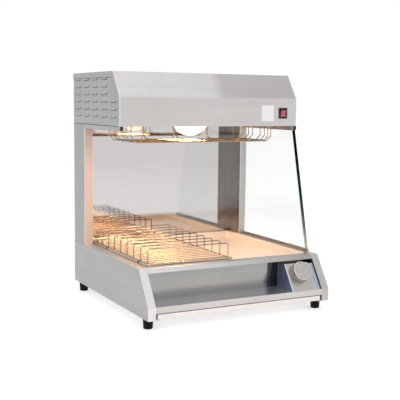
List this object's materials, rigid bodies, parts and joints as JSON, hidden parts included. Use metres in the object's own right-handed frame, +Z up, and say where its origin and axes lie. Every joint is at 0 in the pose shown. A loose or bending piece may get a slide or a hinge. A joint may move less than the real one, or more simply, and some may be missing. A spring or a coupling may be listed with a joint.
{
  "type": "chip warmer",
  "caption": "Counter-top chip warmer with a heated base tray, wire box rack, sloped storage recess with dial, open mirror-backed cabinet, side glass and louvred heat lamp hood.",
  "frame": {"origin": "on the floor under the middle of the bounding box", "axes": "+X to the right as seen from the front, +Y from the front to the back, +Z up"},
  "size_m": [0.605, 0.6093, 0.71],
  "materials": {
    "brushed_sheet": "brushed",
    "recess_sheet": "semi-bright",
    "tray_sheet": "satin",
    "mirror_sheet": "polished",
    "bright_wire": "polished",
    "channel_metal": "satin",
    "knob_metal": "turned",
    "fastener_steel": "plain",
    "element_sheath": "oxidised",
    "foot_rubber": "matt",
    "black_plastic": "moulded",
    "red_plastic": "moulded",
    "ceramic": "unglazed",
    "clear_glass": "polished",
    "lamp_glass": "frosted"
  },
  "bodies": {
    "cabinet": {"base_side_left": "brushed_sheet", "base_side_right": "brushed_sheet", "front_rail": "brushed_sheet", "recess_liner": "recess_sheet", "bottom_pan": "brushed_sheet", "base_rear_panel": "brushed_sheet", "rear_deck": "brushed_sheet", "control_box": "brushed_sheet", "thermostat": "ceramic", "heat_pan": "brushed_sheet", "heating_element": "element_sheath", "element_saddles": "fastener_steel", "terminal_block": "ceramic", "cord_gland": "black_plastic", "feet": "foot_rubber", "post_left": "brushed_sheet", "post_right": "brushed_sheet", "mirror_wall": "mirror_sheet", "rear_wall": "brushed_sheet", "glass_channel_left": "channel_metal", "glass_channel_right": "channel_metal", "channel_plugs": "black_plastic", "glass_foot_channel": "channel_metal", "side_glass": "clear_glass", "hood_side_left": "brushed_sheet", "hood_side_right": "brushed_sheet", "hood_fascia": "brushed_sheet", "hood_top": "brushed_sheet", "hood_rear": "brushed_sheet", "hood_ceiling": "brushed_sheet", "lamp_bracket": "brushed_sheet", "lamp_holder": "ceramic", "heat_lamp": "lamp_glass", "lamp_guard": "bright_wire", "guard_clips": "fastener_steel", "switch_body": "black_plastic", "rear_screws": "fastener_steel"},
    "dial": {"dial_spindle": "fastener_steel", "dial_knob": "knob_metal"},
    "rocker": {"switch_rocker": "red_plastic"},
    "tray": {"chip_tray": "tray_sheet"},
    "rack": {"rack_frame": "bright_wire", "rack_hoops": "bright_wire"}
  },
  "joints": [
    {"name": "dial_turn", "type": "hinge", "parent": "cabinet", "child": "dial", "pos_m": [0.2135, -0.27268, 0.11549], "axis": [0, -0.836, 0.5487], "range_deg": [-270, 0]},
    {"name": "rocker_tilt", "type": "hinge", "parent": "cabinet", "child": "rocker", "pos_m": [0.2505, -0.1035, 0.591], "axis": [1, 0, 0], "range_deg": [-18, 0]},
    {"name": "tray_lift", "type": "slide", "parent": "cabinet", "child": "tray", "axis": [0, 0, 1], "range_m": [0, 0.1]},
    {"name": "rack_lift", "type": "slide", "parent": "tray", "child": "rack", "axis": [0, 0, 1], "range_m": [0, 0.15]}
  ]
}
